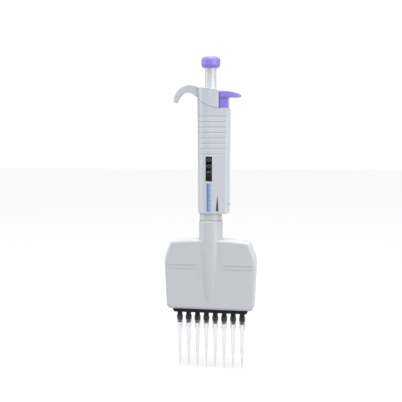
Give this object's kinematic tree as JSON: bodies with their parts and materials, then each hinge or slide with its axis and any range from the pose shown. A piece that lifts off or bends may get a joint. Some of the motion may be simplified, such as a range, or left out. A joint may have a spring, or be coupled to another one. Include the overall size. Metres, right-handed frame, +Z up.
{
  "type": "multichannel pipette",
  "caption": "Hand-held multichannel pipette: plunger with button, finger hook, ejector button, ribbed grip with volume counter, swivelling manifold and a row of clear tips.",
  "frame": {"origin": "on the plunger's axis, level with the lower ends of the tips", "axes": "+Z up along the plunger, +X along the row of nozzles towards the ejector button, -Y towards the counter window"},
  "size_m": [0.0906, 0.0264, 0.3073],
  "materials": {
    "shell_grey": "satin moulded, light cool grey",
    "button_violet": "satin moulded, violet",
    "stem_white": "polished, white",
    "dark_plastic": "satin moulded, black",
    "inner_plastic": "plain moulded, mid grey",
    "window_clear": "polished, clear",
    "tip_clear": "translucent polypropylene",
    "steel": "ground stainless",
    "brass": "turned",
    "seal_rubber": "matt"
  },
  "bodies": {
    "handle": {"grip_housing": "shell_grey", "hook_cap": "shell_grey", "counter_window": "window_clear", "side_plug": "dark_plastic", "neck_collar": "shell_grey", "volume_nut": "brass", "counter_frame": "dark_plastic", "pinion_axle": "steel", "blowout_spring": "steel", "ejector_spring": "steel"},
    "volume_setting": {"volume_spindle": "steel", "units_wheel": "dark_plastic"},
    "tens_counter": {"tens_wheel": "dark_plastic"},
    "hundreds_counter": {"hundreds_wheel": "dark_plastic"},
    "upper_pinion": {"carry_pinion_1": "brass"},
    "lower_pinion": {"carry_pinion_2": "brass"},
    "plunger": {"push_button": "button_violet", "plunger_stem": "stem_white", "push_rod": "steel"},
    "blow_out": {"blowout_cup": "inner_plastic"},
    "ejector": {"ejector_button": "button_violet", "ejector_rod": "steel", "ejector_arm": "inner_plastic"},
    "manifold": {"manifold_front": "shell_grey", "manifold_back": "shell_grey", "guide_tube": "inner_plastic", "cylinder_block": "inner_plastic", "seal_strip": "seal_rubber", "piston_spring": "steel", "nozzle_1": "dark_plastic", "nozzle_2": "dark_plastic", "nozzle_3": "dark_plastic", "nozzle_4": "dark_plastic", "nozzle_5": "dark_plastic", "nozzle_6": "dark_plastic", "nozzle_7": "dark_plastic", "nozzle_8": "dark_plastic"},
    "piston_carriage": {"crosshead": "inner_plastic", "drive_rod": "steel", "piston_1": "steel", "piston_2": "steel", "piston_3": "steel", "piston_4": "steel", "piston_5": "steel", "piston_6": "steel", "piston_7": "steel", "piston_8": "steel"},
    "tip_ejector": {"ejector_frame": "inner_plastic", "ejector_bar": "dark_plastic"},
    "tips": {"tip_1": "tip_clear", "tip_2": "tip_clear", "tip_3": "tip_clear", "tip_4": "tip_clear", "tip_5": "tip_clear", "tip_6": "tip_clear", "tip_7": "tip_clear", "tip_8": "tip_clear"}
  },
  "joints": [
    {"name": "volume_turn", "type": "hinge", "parent": "handle", "child": "volume_setting", "pos_m": [0, 0, 0.2], "axis": [0, 0, 1], "range_deg": [-9000, 0]},
    {"name": "tens_turn", "type": "hinge", "parent": "handle", "child": "tens_counter", "pos_m": [0, 0, 0.2013], "axis": [0, 0, 1], "range_deg": [-900, 0]},
    {"name": "hundreds_turn", "type": "hinge", "parent": "handle", "child": "hundreds_counter", "pos_m": [0, 0, 0.1954], "axis": [0, 0, 1], "range_deg": [-90, 0]},
    {"name": "upper_pinion_turn", "type": "hinge", "parent": "handle", "child": "upper_pinion", "pos_m": [0.0104, 0.0066, 0.20425], "axis": [0, 0, 1], "range_deg": [0, 2250]},
    {"name": "lower_pinion_turn", "type": "hinge", "parent": "handle", "child": "lower_pinion", "pos_m": [0.0104, 0.0066, 0.19835], "axis": [0, 0, 1], "range_deg": [0, 225]},
    {"name": "plunger_press", "type": "slide", "parent": "volume_setting", "child": "plunger", "axis": [0, 0, -1], "range_m": [0, 0.0175], "stiffness_N_per_m": 300, "springref_m": -0.012},
    {"name": "blow_out_travel", "type": "slide", "parent": "handle", "child": "blow_out", "axis": [0, 0, -1], "range_m": [0, 0.0025], "deforming": ["blowout_spring"]},
    {"name": "ejector_press", "type": "slide", "parent": "handle", "child": "ejector", "axis": [0, 0, -1], "range_m": [0, 0.008], "stiffness_N_per_m": 250, "springref_m": -0.01, "deforming": ["ejector_spring"]},
    {"name": "manifold_turn", "type": "hinge", "parent": "handle", "child": "manifold", "pos_m": [0, 0, 0.15], "axis": [0, 0, 1], "continuous": true},
    {"name": "piston_travel", "type": "slide", "parent": "manifold", "child": "piston_carriage", "axis": [0, 0, -1], "range_m": [0, 0.0175], "deforming": ["piston_spring"]},
    {"name": "tip_ejector_travel", "type": "slide", "parent": "manifold", "child": "tip_ejector", "axis": [0, 0, -1], "range_m": [0, 0.008]},
    {"name": "tip_release", "type": "slide", "parent": "manifold", "child": "tips", "axis": [0, 0, -1], "range_m": [0, 0.004]}
  ],
  "couplings": [
    {"joint": "tens_turn", "follows": "volume_turn", "ratio": 0.1},
    {"joint": "hundreds_turn", "follows": "volume_turn", "ratio": 0.01},
    {"joint": "upper_pinion_turn", "follows": "volume_turn", "ratio": -0.25},
    {"joint": "lower_pinion_turn", "follows": "volume_turn", "ratio": -0.025},
    {"joint": "blow_out_travel", "follows": "plunger_press", "ratio": 0.14286},
    {"joint": "piston_travel", "follows": "plunger_press", "ratio": 1},
    {"joint": "tip_ejector_travel", "follows": "ejector_press", "ratio": 1},
    {"joint": "tip_release", "follows": "ejector_press", "ratio": 0.5}
  ]
}
